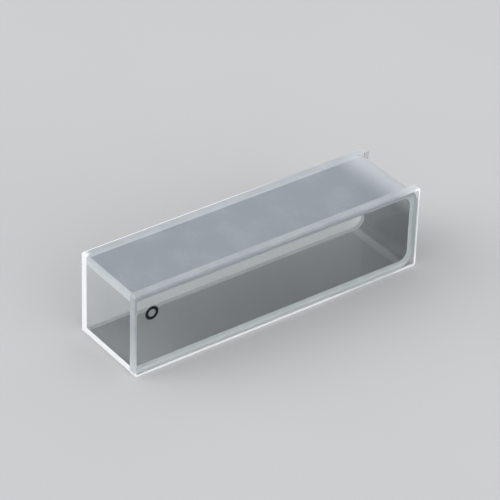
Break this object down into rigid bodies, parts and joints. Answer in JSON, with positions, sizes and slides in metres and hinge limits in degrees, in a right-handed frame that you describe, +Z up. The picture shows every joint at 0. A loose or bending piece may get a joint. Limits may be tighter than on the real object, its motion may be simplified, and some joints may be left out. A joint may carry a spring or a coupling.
{
  "type": "cuvette",
  "caption": "Square quartz cell lying on a frosted side: bent U-shaped frosted strip, polished windows fused on, open mouth.",
  "frame": {"origin": "middle of the cell's length and width, on the plane of the frosted side that it lies on", "axes": "+X along the cell from the mouth to the closed end, +Y along the light path to the rear window, +Z up from the side that it lies on"},
  "size_m": [0.046, 0.0126, 0.0125],
  "materials": {
    "frosted_glass": "finely ground outside, polished inside",
    "clear_glass": "polished faces, ground edges",
    "black_enamel": "fired print, satin"
  },
  "bodies": {
    "root": {"u_frame": "frosted_glass", "front_window": "clear_glass", "rear_window": "clear_glass", "orientation_mark": "black_enamel"}
  },
  "joints": []
}
